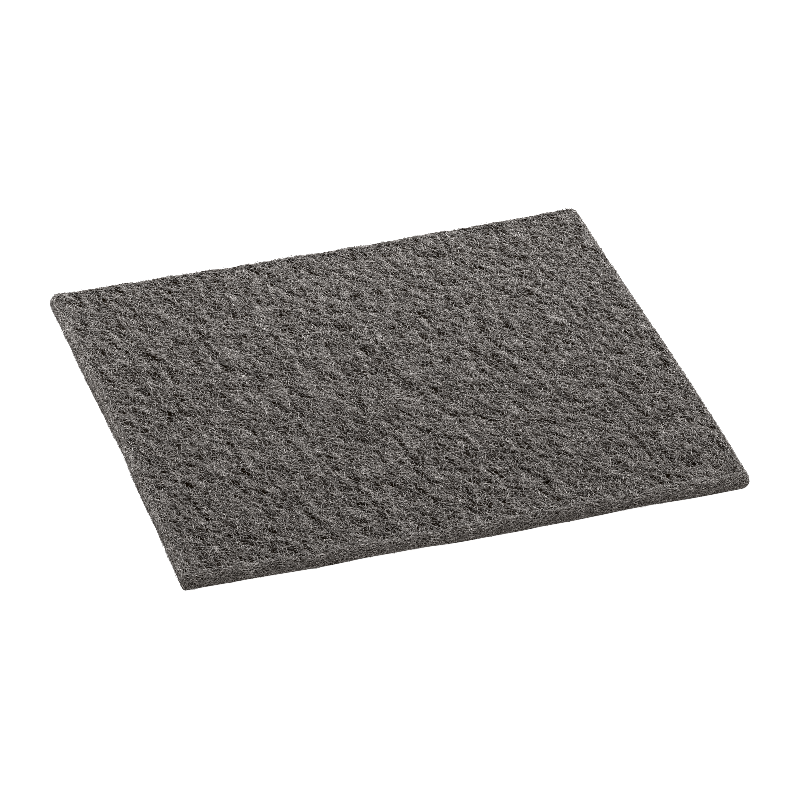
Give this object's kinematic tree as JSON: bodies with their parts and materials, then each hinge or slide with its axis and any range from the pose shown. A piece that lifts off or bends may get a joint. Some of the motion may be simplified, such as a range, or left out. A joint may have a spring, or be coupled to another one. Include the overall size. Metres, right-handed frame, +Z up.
{
  "type": "sanding pad",
  "caption": "Flat rectangular hand pad of non-woven abrasive fleece in warm grey, with softly rounded corners and fibrous cut edges.",
  "frame": {"origin": "middle of the underside, at the centre of the sheet's box", "axes": "+Z up out of the upper face, X along the long sides, Y along the short sides"},
  "size_m": [0.1408, 0.1166, 0.0043],
  "materials": {
    "abrasive_fleece": "matt warm grey non-woven fibres coated with fine abrasive grain"
  },
  "bodies": {
    "root": {"abrasive_pad": "abrasive_fleece"}
  },
  "joints": []
}
